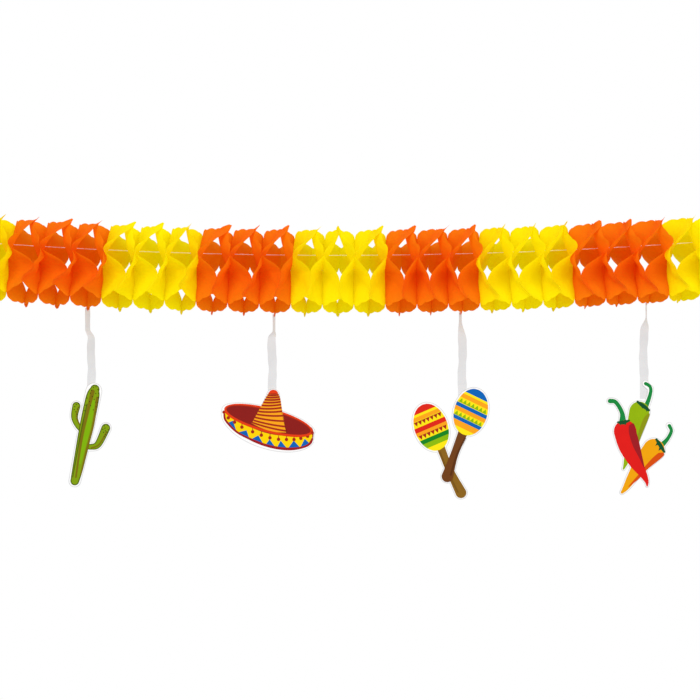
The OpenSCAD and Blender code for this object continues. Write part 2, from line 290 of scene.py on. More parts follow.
orange_tissue = tissue_material("orange_tissue", (0.93, 0.243, 0.003), (1.0, 0.25, 0.0), 0.48)
yellow_tissue = tissue_material("yellow_tissue", (1.0, 0.89, 0.0), (1.0, 0.9, 0.0), 0.48)
ribbon_paper = ribbon_material("ribbon_paper", (0.74, 0.75, 0.765))
cotton = plain_material("cotton_thread", (1.0, 0.98, 0.94), 0.9, 0.04, 900.0, 0.2)
card_white = plain_material("card_white", (0.88, 0.88, 0.88), 0.55)


# Tissue sheets
def petal_angles(steps):
    """Angles around the sheet from each petal's middle, closer together near the points, and their turns."""
    u = np.linspace(-1, 1, steps, endpoint=False)
    within = 45 * u - POINT_CROWD * np.sin(np.pi * u) - NOTCH_CROWD * np.sin(2 * np.pi * u) - GLUE_TURN
    a = np.tile(within, 4)
    turn = 45 + ROLL + GLUE_TURN + np.repeat(np.arange(4) * 90, steps) + a
    return a, turn


def wrapped(a):
    """The same angle from the nearest petal's middle, between -45 and 45 degrees."""
    return (a + 45) % 90 - 45


def edge_radius(a):
    """Radius of the cut edge: a round petal between narrow notches, with a point beside its middle that runs
    out exponentially."""
    off = np.abs(wrapped(a + GLUE_TURN))
    point = np.exp(-np.maximum(off - POINT, 0) / SPREAD)
    notch = np.exp(-((45 - np.abs(wrapped(a))) / NOTCH) ** 2)
    petal = LOBE_R + (PETAL_R - LOBE_R) * np.cos(np.radians(2 * wrapped(a)))
    wave = np.abs(np.cos(np.radians(180 * off / SCALLOP_TURN))) - SCALLOP_LEVEL
    scallop = SCALLOP * wave * (1 - point) * (1 - notch)
    return petal - (LOBE_R - NOTCH_R) * notch + (TIP_R - PETAL_R) * point + scallop


def stand_share(a, r, glue_r, seam):
    """Share of half a cell by which the sheet stands from its cell's middle: none along the glued petals, all
    of it along the notches and at the sheet's middle, from where the paper runs almost straight."""
    b = wrapped(a)
    beyond = np.where(b < 0, (-b - GLUE_TURN) / (45 - GLUE_TURN), (b - seam) / (45 - seam))
    at_edge = (1 - np.cos(np.pi * np.clip(beyond, 0, 1))) / 2
    way = np.clip(r / glue_r, 0, 1)
    way = STRAIGHT * way + (1 - STRAIGHT) * ease(way)
    return 1 + (at_edge - 1) * way


# Lean of each cell's upper point to the right, in millimetres, from the left end to the right end
CELL_LEAN = np.array([
    20, 21, 20, 24, 24, 25, 19, 15, 26, 21, 19, 21, 1, 16, 16, 19, 14, 11, 9, 9, 9, 9, 12, 12, 12,
]) * MM

# Sideways lean of each cell's back seam at its lower and at its upper end, in millimetres
BACK_LOW = np.array([
    13, 13, 13, 13, 14, 11, 9, 8, 7, 8, 6, 4, 3, 3, 4, -2, -4, -5, -5, -5, -5, -4, -4, -4, -4,
]) * MM
BACK_HIGH = np.array([
    13, 13, 13, 13, 15, 14, 11, 11, 12, 8, 8, 8, 4, 3, 4, 2, 2, 3, 1, -5, -7, -8, -8, -8, -8,
]) * MM
BACK_Y = 30 * MM

# Sideways lean of the upper end of each cell's front seam, in millimetres, full at this distance to the front
FRONT_Y = 42 * MM
FRONT_SEAM = np.array([
    16, 16, 17, 20, 18, 13, 13, 9, 7, 11, 7, 4, 1, 0, 2, -6, -11, -14, -14, -14, -16, -15, -16, -16, -16,
]) * MM

# Radius at which the glue begins on each cell's four petals: front, upper, back and lower
CELL_GLUE = np.tile([49.0, 49.0, 49.0, 45.0], (CELLS, 1))
CELL_GLUE[:, 1] = [
    60, 60, 61, 62, 62, 61, 61, 62, 57, 57, 57, 55, 53, 50, 53, 54, 54, 49, 49, 49, 49, 49, 49, 49, 49,
]
CELL_GLUE[:, 3] = [
    44, 44, 44, 42, 35, 35, 38, 44, 44, 43, 42, 43, 44, 35, 36, 39, 36, 40, 40, 40, 40, 40, 40, 40, 40,
]
CELL_GLUE = CELL_GLUE * MM

# Angle from each petal's middle at which the seam of its two sheets ends, set for front and back petals
CELL_SEAM = np.full((CELLS, 4), GLUE)
CELL_SEAM[:, 0] = [
    10, 10, 10, 6, 9, 7, 7, 14, 7, 7, 17, 17, 7, 9, 8, 7, 8, 6, 8, 11, 8, 8, 8, 8, 9,
]
CELL_SEAM[:, 2] = [
    10, 10, 10, 6, 8, 9, 9, 14, 10, 11, 17, 17, 12, 12, 12, 13, 13, 12, 12, 15, 12, 9, 10, 11, 11,
]

# Lift of each cell's front point, in millimetres, from the left end to the right end
FRONT_LIFT = np.array([
    4, 4, 5, 5, 4, 1, 2, 5, 1, -2, -2, -2, -3, -3, -3, -3, -3, -5, -2, -1, -3, 0, -3, -3, -3,
]) * MM

# Swing of each cell about the thread, in degrees, which brings its front down
CELL_SWING = np.array([
    0, 0, 0, 1, 1, 1, 1, 0, 1, 1, 0, 0, 1, 1, 1, 2, 2, 3, 3, 2, 4, 5, 5, 5, 5,
])

# Twist of each sheet's points about their own middle, and their small bends, for every cell and petal
POINT_TWIST = rng.uniform(0.3, 0.9, (CELLS, 4)) * rng.choice([-1, 1], (CELLS, 4))
POINT_BEND = rng.normal(0, 1.2, (CELLS, 4)) * MM
POINT_TWIST[list(RIBBON_CELLS), 3] = -np.tan(np.radians(RIBBON_START))
POINT_BEND[list(RIBBON_CELLS), 3] = 0.0


def lean_at(x, y, z):
    """Sideways lean: the upper front leans to the right and more with the height, the front seam leans at its
    upper end, and the back by what its seam does at its lower and upper end."""
    amount = np.interp(x, CELL_MIDDLES, CELL_LEAN)
    up = np.maximum(z - LEAN_FROM, 0) / (LEAN_TOP - LEAN_FROM)
    far = np.sqrt(y ** 2 + LEAN_BLEND ** 2)
    front = (far - y) / 2
    back = (far + y) / 2
    low = np.interp(x, CELL_MIDDLES, BACK_LOW)
    high = np.interp(x, CELL_MIDDLES, BACK_HIGH)
    seam = low * over(z, -70, -18) + (high - low) * over(z, -22, 8)
    slant = np.interp(x, CELL_MIDDLES, FRONT_SEAM) * over(z, -54, -30) * over(z, 6, -20)
    upper = amount * up ** LEAN_POWER * front / RIBBON_Y
    return upper + slant * ease(front / FRONT_Y) + seam * ease(back / BACK_Y)


def lifted(x, y, z):
    """Height by which the front petals are lifted, full at their points and fading towards the thread."""
    amount = np.interp(x, CELL_MIDDLES, FRONT_LIFT)
    return amount * over(-y, 8, 52) * over(-z, 4, 44)


def swung(x, y, z):
    """Places turned a little about the thread, by an angle that changes smoothly along the garland."""
    angle = np.radians(np.interp(x, CELL_MIDDLES, CELL_SWING))
    return y * np.cos(angle) - z * np.sin(angle), z * np.cos(angle) + y * np.sin(angle)


def sheet_points(cell, side, steps=52, rings=20):
    """Grid over one sheet: angle around its middle, and way out from the thread's hole to the cut edge. The
    sheet stands along X by a share of half a cell, then leans and follows the thread's arc."""
    a, turn = petal_angles(steps)
    edge = edge_radius(a)
    edge_y = -edge * np.sin(np.radians(turn))
    edge_z = -DROP - edge * np.cos(np.radians(turn))
    far = np.hypot(edge_y, edge_z)
    rho = np.linspace(0, 1, rings)[:, None]
    y = edge_y * (HOLE_R / far * (1 - rho) + rho)
    z = edge_z * (HOLE_R / far * (1 - rho) + rho)
    r = np.hypot(y, z + DROP)
    turn = np.degrees(np.arctan2(-y, -(z + DROP)))
    from_first = turn - 45 - ROLL - GLUE_TURN
    petal = np.floor((from_first + 45) / 90).astype(int) % 4
    share = stand_share(from_first, r, CELL_GLUE[cell][petal], CELL_SEAM[cell][petal])
    stand = share * (PITCH / 2 + TOUCH) + GLUE_GAP
    x = CELL_MIDDLES[cell] + side * stand
    off = wrapped(from_first + GLUE_TURN)
    near_point = over(r, 50, 62) * np.exp(-(off / POINT_REACH) ** 2)
    x = x + near_point * (POINT_TWIST[cell][petal] * r * np.radians(off) + POINT_BEND[cell][petal])
    x = x + lean_at(x, y, z)
    z = z + lifted(x, y, z)
    y, z = swung(x, y, z)
    z = z + arc_z(x)
    return to_frame(np.stack([x, y, z], axis=-1))


for number in range(2 * CELLS):
    cell = number // 2
    side = -1 if number % 2 == 0 else 1
    orange = 2 <= cell < CELLS - 2 and ((cell - 2) // 3) % 2 == 0
    colour = "orange" if orange else "yellow"
    node = f"{colour}_sheet_{number + 1:02d}"
    name = f"{colour}_tissue_{number + 1:02d}"
    paper = orange_tissue if orange else yellow_tissue
    tissue = grid_mesh(name, sheet_points(cell, side), closed=True)
    piece = add_piece(name, tissue, paper, [node])


# Thread
thread = frame["nodes"]["thread"]
thread.data.materials.clear()
thread.data.materials.append(cotton)


# Ribbons
def ribbon_points(number, rows=90, cols=9):
    """Grid along a ribbon: it starts on the twisted paper point, opens to the front at a kink, waves a little
    in depth and ends flat on the back of its card."""
    cell_x = CELL_MIDDLES[RIBBON_CELLS[number]]
    length = RIBBON_LAP + RIBBON_DROP + RIBBON_BEHIND[number] * MM
    down = np.linspace(-RIBBON_LAP, length - RIBBON_LAP, rows)[:, None]
    uneven = 1 + 0.05 * np.sin(down / (7 * MM) + number) + 0.04 * np.sin(down / (3.1 * MM) + 2 * number)
    across = np.linspace(-0.5, 0.5, cols)[None, :] * RIBBON_W * np.where(down < RIBBON_DROP, uneven, 1)
    kink_from, kink_to = RIBBON_KINK[number]
    turned = over(down, kink_from, kink_to)
    flat = ease((down - 60 * MM) / (RIBBON_DROP - 60 * MM))
    sway = 0.7 * MM * np.sin(down / (11 * MM) + 1.7 * number) * turned
    sway = sway * ease((RIBBON_DROP - down) / (20 * MM))
    opened = RIBBON_START[number] + (RIBBON_OPEN[number] - RIBBON_START[number]) * turned
    angle = np.radians(opened + (90 - RIBBON_OPEN[number]) * flat)
    start = -1.05 * MM + POINT_BEND[RIBBON_CELLS[number]][3]
    free = (down > 0) & (down < RIBBON_DROP)
    wave = np.where(free, -1.6 * MM * np.sin(2 * np.pi * down / RIBBON_DROP) * turned, 0)
    held_y, held_z = swung(cell_x, RIBBON_Y, POINT_Z)
    x = cell_x + start + (RIBBON_SHIFT[number] * MM - start) * turned + sway + across * np.sin(angle)
    y = held_y + (RIBBON_Y - held_y) * ease(down / RIBBON_DROP) + wave + across * np.cos(angle)
    z = arc_z(cell_x) + POINT_Z - down + (held_z - POINT_Z) * ease(1 - down / RIBBON_DROP) + 0 * across
    return to_frame(np.stack([x, y + 0 * across, z], axis=-1)), length


for number, figure in enumerate(FIGURES):
    points, length = ribbon_points(number)
    strip = grid_mesh(f"{figure}_ribbon_paper", points, down_scale=length / RIBBON_DROP)
    piece = add_piece(f"{figure}_ribbon_paper", strip, ribbon_paper, [f"{figure}_ribbon"])


# Cards
for figure in FIGURES:
    card = frame["nodes"][f"{figure}_card"]
    card.data.materials.clear()
    card.data.materials.append(card_white)


# Printed figures, drawn in each card's own plane in millimetres
def linear(red, green, blue):
    """A screen colour of 0 to 255 as linear shares."""
    c = np.array([red, green, blue]) / 255
    return tuple(float(v) for v in np.where(c <= 0.04045, c / 12.92, ((c + 0.055) / 1.055) ** 2.4))


INKS = {
    "leaf": (130, 160, 12), "leaf_light": (128, 178, 6), "leaf_brown": (125, 110, 14),
    "leaf_dark": (84, 100, 8), "spine": (40, 42, 12), "red": (222, 40, 24),
    "rim_red": (228, 62, 18), "maroon": (140, 30, 26),
    "dark_red": (165, 40, 22), "yellow": (255, 214, 0), "sun": (255, 232, 20), "orange": (250, 166, 26),
    "blue": (10, 100, 185), "green": (20, 132, 36), "lime": (140, 186, 10), "wood": (140, 100, 30),
    "dark_wood": (112, 64, 26), "dark_wood_shade": (92, 50, 20), "wood_shade": (120, 84, 24),
    "chilli_green": (146, 180, 8), "olive": (140, 148, 18), "chilli_red": (224, 28, 24),
    "wine": (158, 28, 34), "amber": (240, 164, 6), "rust": (216, 78, 10),
    "stem": (24, 136, 62), "calyx": (18, 82, 44),
    # Painted shade: a light grey band along each card's cut edge, standing in for the shade at that edge
    "cut_edge": (212, 213, 215), "card_face": (255, 255, 255),
}
INK_SHARE = 0.77
ink_materials = {}
for name, screen in INKS.items():
    ink = tuple(INK_SHARE * v for v in linear(*screen))
    ink_materials[name] = plain_material(f"print_{name}", ink, 0.6, 0.05, 90.0, 0.05, 0.05)


def curve(points, steps=12):
    """Smooth curve through points, as Catmull-Rom pieces."""
    p = np.array(points, dtype=float)
    p = np.vstack([p[:1], p, p[-1:]])
    t = np.linspace(0, 1, steps, endpoint=False)[:, None]
    out = [
        (2 * b + (c - a) * t + (2 * a - 5 * b + 4 * c - d) * t ** 2 + (3 * b - a - 3 * c + d) * t ** 3) / 2
        for a, b, c, d in zip(p[:-3], p[1:-2], p[2:-1], p[3:])
    ]
    return np.vstack(out + [p[-1:]])


def rays(angle):
    """Unit vectors at angles in radians."""
    return np.stack([np.cos(angle), np.sin(angle)], axis=1)


def stroke(points, smooth=True):
    """Outline of a stroke of changing radius along points [x, y, radius], with round ends."""
    p = curve(points) if smooth else np.array(points, dtype=float)
    step = np.gradient(p[:, :2], axis=0)
    way = np.arctan2(step[:, 1], step[:, 0])
    left = p[:, :2] + p[:, 2:] * rays(way + np.pi / 2)
    right = p[:, :2] + p[:, 2:] * rays(way - np.pi / 2)
    turn = np.linspace(0, np.pi, 14)[1:-1]
    far = p[-1, :2] + p[-1, 2] * rays(way[-1] + np.pi / 2 - turn)
    near = p[0, :2] + p[0, 2] * rays(way[0] - np.pi / 2 - turn)
    return np.vstack([left, far, right[::-1], near])


def ellipse(middle, half_long, half_short, tilt, steps=72):
    """Outline of a turned ellipse."""
    a = np.linspace(0, 2 * np.pi, steps, endpoint=False)
    c, s = math.cos(math.radians(tilt)), math.sin(math.radians(tilt))
    x, y = half_long * np.cos(a), half_short * np.sin(a)
    return np.stack([middle[0] + c * x - s * y, middle[1] + s * x + c * y], axis=1)


def half_widths(half_long, half_short, axis, slant):
    """Two conjugate half diameters of an ellipse: across it at a slant to its short axis, and along it."""
    d = np.array([math.cos(math.radians(axis)), math.sin(math.radians(axis))])
    side = np.array([d[1], -d[0]])
    q = math.atan2(half_short * math.sin(math.radians(slant)), half_long * math.cos(math.radians(slant)))
    across = half_short * math.cos(q) * side + half_long * math.sin(q) * d
    along = half_long * math.cos(q) * d - half_short * math.sin(q) * side
    return across, along


def band(middle, half_long, half_short, axis, slant, high, low, steps=10):
    """Part of an ellipse between two slanted cuts at heights along its long axis."""
    across, along = half_widths(half_long, half_short, axis, slant)
    u = np.linspace(high, low, steps)[:, None] / half_long
    w = np.sqrt(np.maximum(1 - u ** 2, 0))
    right = np.array(middle) + u * along + w * across
    left = np.array(middle) + u * along - w * across
    return np.vstack([left, right[::-1]])


def teeth(middle, half_long, half_short, axis, slant, height, size, count, upward):
    """Row of small triangles along a slanted cut across an ellipse at a height along its long axis."""
    across, along = half_widths(half_long, half_short, axis, slant)
    u = height / half_long
    width = math.sqrt(1 - u ** 2) - 1.2 / half_short
    side = across / np.hypot(*across)
    up = np.array([-side[1], side[0]]) * (1 if upward else -1)
    row = []
    for k in range(count):
        at = np.array(middle) + u * along + across * width * (2 * (k + 0.5) / count - 1)
        row.append(np.array([at - side * size - up * size, at + side * size - up * size, at + up * size]))
    return row


def dot(x, y, radius, steps=16):
    """Outline of a small round dot."""
    return ellipse((x, y), radius, radius, 0, steps)


def line(points, width):
    """Outline of a thin line through points."""
    return stroke([(x, y, width / 2) for x, y in points])


def triangles(corners):
    """Outlines of small triangles from their corners."""
    return [np.array(three) for three in corners]


# Strokes [x, y, radius] and ellipses (middle, half length, half width, tilt, lower half only) of each card
CARD_STROKES = (
    (
        [(7.1, -11.4, 9), (-2, -55, 9), (-17.4, -127, 6.4)],
        [(-15.4, -30.5, 5.3), (-17.6, -46, 4.4), (-10.8, -59.5, 3.6), (-4, -60, 3.2)],
        [(22.5, -59, 5.9), (12.7, -79.5, 4.8), (3.5, -83, 4.2), (-4, -82, 4)],
    ),
    (
        [(-2.2, -9.6, 7.2), (-8, -51, 20)],
        [(45.8, -56, 3.4), (46, -66.5, 2.9)],
    ),
    (
        [(-26, -79, 5.2), (-15, -107, 5), (-0.5, -136, 7)],
        [(1.5, -60, 6), (-9.2, -87.4, 5), (-18, -115, 7.4)],
    ),
    (
        [(-11, -42.4, 13), (-18, -68.7, 10), (-25.2, -95.9, 5), (-28.8, -109.5, 2.6), (-31.5, -116.2, 1)],
        [(-3.4, -37.9, 3.4), (2.4, -23.3, 2.4), (3.7, -12.4, 2.3)],
        [(2.6, -12, 2.1), (-3.2, -6.2, 2.6)],
        [(7.5, -91.4, 14), (-6.1, -106.8, 10.9), (-18.9, -124.9, 6.9), (-27.9, -139.4, 4),
         (-33.3, -146.3, 1.7)],
        [(16.5, -86.7, 4), (25, -78, 2.4), (30.4, -67, 2.2)],
        [(29.9, -66, 2), (27.4, -60.4, 2.7)],
        [(-29.3, -67.8, 14.5), (-24.7, -86.8, 12.8), (-16.2, -106.8, 8.7), (-7, -121.3, 5.4),
         (-1.6, -132.1, 2.6), (-1, -137.9, 0.9)],
        [(-32.4, -55.1, 4.5), (-33, -45.1, 2.9), (-37, -36.1, 2.6), (-42.4, -29.6, 2.6), (-48.7, -28.7, 2.9)],
    ),
)
CARD_ROUNDS = (
    (),
    (((-8.2, -41.5), 60.5, 15.5, -15, False), ((-8.5, -47), 61.5, 29.5, -18, True)),
    (((-38.9, -51.7), 31.8, 22, 109.7, False), ((12.1, -32.3), 31, 22, 74.7, False)),
    (),
)


def card_outlines(number, margin):
    """Outlines of the strokes and ellipses that make a card, grown by a margin."""
    shapes = [stroke([(x, y, r + margin) for x, y, r in path]) for path in CARD_STROKES[number]]
    for middle, half_long, half_short, tilt, half in CARD_ROUNDS[number]:
        outline = ellipse(middle, half_long + margin, half_short + margin, tilt)
        shapes.append(outline[36:] if half else outline)
    return shapes


def cactus_print():
    """Layers of the cactus: arms and body with ribs and a scatter of spines."""
    left = [(-15.4, -30.5, 5.2), (-17.6, -46, 4.3), (-10.8, -59.5, 3.2), (-4, -60, 2.8)]
    right = [(22.5, -59, 5.7), (12.7, -79.5, 4.6), (3.5, -83, 3.7), (-4, -82, 3.4)]
    body = [(8.4, -9, 6), (5.6, -19, 8.6), (-2, -55, 9), (-13, -108, 7), (-17.4, -127, 5.6)]
    layers = [
        ("leaf_dark", stroke(left)), ("leaf", stroke([(x, y, r - 1.2) for x, y, r in left])),
        ("leaf_dark", stroke(right)), ("leaf", stroke([(x, y, r - 1.2) for x, y, r in right])),
        ("leaf_brown", line([(-13.2, -33), (-15.4, -45), (-9.6, -57.5)], 1.4)),
        ("leaf_brown", line([(23.5, -64), (14, -80), (4, -84.5)], 1.8)),
        ("leaf_dark", stroke(body)),
        ("leaf", stroke([(x, y, r - 1.3) for x, y, r in body])),
        ("leaf_light", stroke([(6.5, -25, 2.2), (0.5, -55, 3.0), (-6, -82, 2.8), (-11.5, -104, 2.0)])),
        ("leaf_brown", stroke([(5.6, -12, 2.6), (-2.6, -45, 1.8), (-8.4, -71, 1.6), (-16, -122, 1.1)])),
        ("leaf_brown", stroke([(11.4, -20, 1.4), (6.4, -54, 1.4), (-2.4, -88, 1.3), (-9.8, -119, 0.8)])),
        ("leaf_dark", stroke([(-1.6, -28, 0.6), (-8.6, -60, 0.8), (-15.4, -96, 0.7), (-20, -122, 0.5)])),
    ]
    spots = [
        (2.6, -14), (7.5, -22), (12.6, -19.5), (13.2, -14), (3, -30), (10, -31.5), (-3.2, -29.5),
        (9.4, -38.5), (12.4, -9.4), (-1.6, -20.5), (12.2, -26), (-15.5, -28.5), (-18.2, -35),
        (-12.4, -32), (-16.2, -38),
        (-12.6, -27.5), (20.4, -56), (24.6, -55), (25.6, -61), (22, -62.5), (22.4, -67.5), (18.6, -60.5),
        (6.5, -6.5), (9.8, -5.8), (4.2, -10.4), (9.6, -14.5), (5.2, -18.4), (6.4, -35.5), (1.6, -24.8),
        (9.4, -25.6), (-14, -34.5), (-17.4, -31.4), (-14.6, -41), (21.4, -59), (24.2, -64), (19.6, -64.4),
        (20.6, -70), (-4.6, -36.5),
    ]
    layers.append(("spine", [dot(x, y, 0.65, 8) for x, y in spots]))
    return layers


PEAK_WIDTH = 1.1
PEAK_HEIGHT = 1.25


def grown_peak(peak):
    """A triangle of the hat's band, made wider and higher about the middle of its foot."""
    a, top, b = np.array(peak)
    foot_middle = (a + b) / 2
    return np.array([
        foot_middle + PEAK_WIDTH * (a - foot_middle), foot_middle + PEAK_HEIGHT * (top - foot_middle),
        foot_middle + PEAK_WIDTH * (b - foot_middle),
    ])


def sombrero_print():
    """Layers of the hat: bowl of the brim with its band, rim, inside and pompoms, then the striped crown."""
    bowl = curve([
        (-66, -33.5), (-64, -42), (-49.5, -56), (-27.5, -69.2), (-3.8, -77.3), (19.9, -80), (38.5, -76.6),
        (46.8, -71.5), (49.2, -65), (49.2, -54), (43, -48), (20, -38), (-20, -29), (-54, -25), (-62, -26),
        (-66, -33.5),
    ])[:-1]
    upper = curve([(-64.6, -27), (-61.5, -31), (-50, -41), (-32, -49.8), (-15.7, -56.3), (2, -60.3),
                   (20, -61.2), (34.8, -59.3), (48, -53.5)])
    lower = curve([(48.2, -65.4), (43.7, -72.2), (34.8, -76.2), (20, -77.6), (5, -76.6), (-12.8, -72.6),
                   (-33.5, -64.5), (-49.8, -55.6), (-63, -41.8), (-65, -34)])
    peaks = [
        ((-60.9, -45.2), (-54.2, -43.5), (-49.8, -55.3)), ((-47, -57.2), (-37.2, -55.4), (-33.6, -64)),
        ((-30, -66), (-21.6, -62.2), (-15.6, -71.2)), ((-11.2, -72.6), (-6.5, -67.4), (0, -75.6)),
        ((3.6, -75.8), (7.8, -69.2), (14.8, -77)), ((17.8, -77.2), (24.4, -69.2), (31.8, -76.4)),
        ((33.4, -76), (38.5, -66.7), (44.4, -71.4)), ((45.4, -70.4), (48.2, -63.4), (48.2, -66)),
        ((-65.2, -35), (-64.6, -36), (-62.8, -43)),
    ]
    poms = [
        (-65.4, -30.8), (-59.9, -38.1), (-51.9, -43.7), (-42.4, -50.1), (-28.6, -56), (-17.4, -60.4),
        (-6.3, -63.8), (4.7, -65.7), (15, -66), (24.7, -66), (33.4, -64.5), (42.2, -61.8), (48.2, -57.5),
    ]
    crown_left = curve([(-6.4, -3.6), (-12.7, -14), (-21.6, -30.4), (-29.7, -45.2)])
    crown_right = curve([(2.6, -3.6), (7, -13.4), (9.7, -30.4), (14.6, -57)])
    foot = curve([(-29.7, -45.2), (-15.6, -51.9), (-0.8, -56.3), (15.2, -57)])
    tip = curve([(2.6, -3.6), (0.6, -2.4), (-1.8, -2), (-4.4, -2.4), (-6.4, -3.6)])
    crown = np.vstack([crown_left, foot, crown_right[::-1], tip])
    stripes = []
    for t in np.linspace(0.12, 0.96, 12):
        k = t * (len(crown_left) - 1)
        a = np.array([np.interp(k, np.arange(len(crown_left)), crown_left[:, j]) for j in (0, 1)])
        b = np.array([np.interp(k, np.arange(len(crown_right)), crown_right[:, j]) for j in (0, 1)])
        middle = (a + b) / 2 + np.array([0, -1.2 - 1.2 * t])
        s = np.linspace(0, 1, 9)[:, None]
        path = (1 - s) ** 2 * a + 2 * s * (1 - s) * middle + s ** 2 * b
        half = np.array([0, 1.15])
        stripes.append(np.vstack([path + half, path[::-1] - half]))
    cap = np.vstack([crown_left[:6], crown_right[:6][::-1], tip[1:-1]])
    return [
        ("wine", bowl),
        ("yellow", np.vstack([upper, lower])),
        ("blue", [grown_peak(p) for p in peaks]),
        ("wine", stroke([(x, y, 1.3) for x, y in lower], False)),
        ("rim_red", ellipse((-8.2, -41.3), 58.8, 15.6, -15)),
        ("dark_red", ellipse((-8.2, -41.0), 56.2, 13.0, -15)),
        ("maroon", ellipse((-8.2, -41.2), 55.2, 11.8, -15)),
        ("dark_red", [line([(x, y), (x + 0.1, y + 4.4)], 0.9) for x, y in poms[2:-1]]),
        ("dark_red", [dot(x, y, 2.2) for x, y in poms]),
        ("orange", crown),
        ("dark_red", stripes),
        ("rim_red", cap),
        ("rim_red", stroke([(x, y, 1.5) for x, y in ellipse((-8.2, -41.3), 57.3, 14.1, -15)[38:71]], False)),
    ]


def maracas_print():
    """Layers of the two maracas: handles, then bands and rows of triangles across each head."""
    one = ((-38.9, -51.7), 31.2, 21.5, 109.7, 3.5)
    two = ((12.1, -32.3), 30.5, 21.5, 74.7, -10.5)
    first = [
        ("red", 31.2, 22.3), ("sun", 22.3, 19), ("orange", 19, 14), ("sun", 14, 5.8), ("red", 5.8, -0.2),
        ("orange", -0.2, -4.6), ("sun", -4.6, -11), ("green", -11, -16.5), ("lime", -16.5, -23),
        ("sun", -23, -31.2),
    ]
    second = [
        ("blue", 30.5, 21), ("sun", 21, 18), ("orange", 18, 12.5), ("sun", 12.5, 5.2), ("blue", 5.2, 0.2),
        ("orange", 0.2, -5), ("sun", -5, -11.4), ("blue", -11.4, -16.2), ("orange", -16.2, -23.6),
        ("sun", -23.6, -30.5),
    ]
    layers = [
        ("wood", stroke([(-26, -79, 5.2), (-15, -107, 5), (-0.5, -136, 7)])),
        ("wood_shade", line([(-27.4, -84), (-18, -107.5), (-4.6, -135)], 2.2)),
    ]
    layers += [(ink, band(*one, high, low)) for ink, high, low in first]
    layers += [("dark_red", teeth(*one, height, 2.8, 7, False)) for height in (10.6, -7.4)]
    layers += [
        ("dark_wood", stroke([(1.5, -60, 6), (-9.2, -87.4, 5), (-18, -115, 7.4)])),
        ("dark_wood_shade", line([(4.6, -66), (-6, -88), (-13.6, -113)], 2.4)),
    ]
    layers += [(ink, band(*two, high, low)) for ink, high, low in second]
    layers += [("lime", teeth(*two, height, 2.8, 7, True)) for height in (8.8, -8.2)]
    return layers


def chillies_print():
    """Layers of the three peppers from back to front: body, shaded side, stem and jagged cap."""
    return [
        ("stem", stroke([(-3.4, -37.9, 3.2), (1.6, -25, 2.5), (3.8, -15.5, 2.2), (2.4, -9.8, 2.1),
                         (-2.8, -6.4, 2.3)])),
        ("chilli_green", stroke([(-11, -42.4, 13), (-18, -68.7, 10), (-25.2, -95.9, 5), (-28.8, -109.5, 2.6),
                                 (-31.5, -116.2, 1)])),
        ("olive", curve([(-1.5, -46), (2, -44.6), (1.2, -50.5), (-8.4, -74), (-13.8, -89), (-15.4, -84),
                         (-11.6, -68), (-6.4, -53), (-1.5, -46)])[:-1]),
        ("calyx", stroke([(-13.2, -29.8, 1.5), (-5.3, -35.5, 2.6), (1.4, -40.6, 1.5)])),
        ("calyx", triangles([((-10, -32), (-7.4, -38.6), (-5, -35)), ((-4, -36), (-1.6, -42.6), (1, -40))])),
        ("stem", stroke([(16.5, -86.7, 3.6), (24.6, -78.4, 2.5), (29.4, -70, 2.2), (30, -65.4, 2.1),
                         (27.6, -60.6, 2.3)])),
        ("amber", stroke([(7.5, -91.4, 14), (-6.1, -106.8, 10.9), (-18.9, -124.9, 6.9), (-27.9, -139.4, 4),
                          (-33.3, -146.3, 1.7)])),
        ("rust", curve([(13.4, -95.6), (19.6, -95.4), (19.2, -100.4), (-0.4, -116.6), (-12, -129.2),
                        (-23.4, -138.4), (-24.2, -137.6), (-13.4, -124.8), (-2.6, -111.4), (6.4, -101.6),
                        (13.4, -95.6)])[:-1]),
        ("calyx", stroke([(11, -78.2, 1.5), (16.2, -86, 2.6), (21, -94, 1.5)])),
        ("calyx", triangles([((12.4, -80.6), (9.4, -86.4), (14.4, -84.6)),
                             ((15, -87), (13.6, -92.6), (18.6, -90.4))])),
        ("stem", stroke([(-32.4, -55.1, 4.5), (-33, -45.1, 2.9), (-37, -36.1, 2.6), (-42.4, -29.6, 2.6),
                         (-48.7, -28.7, 2.9)])),
        ("chilli_red", stroke([(-29.3, -67.8, 14.5), (-24.7, -86.8, 12.8), (-16.2, -106.8, 8.7),
                               (-7, -121.3, 5.4), (-1.6, -132.1, 2.6), (-1, -137.9, 0.9)])),
        ("wine", curve([(-24.6, -60.6), (-18.4, -57.6), (-15, -68), (-11.6, -80), (-8.6, -94), (-4.4, -114),
                        (-6.2, -112.4), (-11.4, -101.6), (-18.9, -87.4), (-24.2, -71), (-24.6, -60.6)])[:-1]),
        ("calyx", stroke([(-38.4, -56.2, 1.3), (-32.4, -56.4, 2.6), (-24.2, -54, 1.3)])),
        ("calyx", triangles([((-38, -55.6), (-35.6, -60.4), (-33.4, -57)),
                             ((-32, -57), (-29, -60.2), (-26.6, -55))])),
    ]


# Insets of a card's painted edge shade, a grey band along its cut edge, and of its white face from its
# outline, steps in depth of the layers and of a layer's
#  shapes, in millimetres, and how many such shape steps there are
EDGE_SHADE_INSET = 0.05
CARD_FACE_INSET = 0.8
LAYER_STEP = 0.02
SHAPE_STEP = 0.002
SHAPE_STEPS = 8


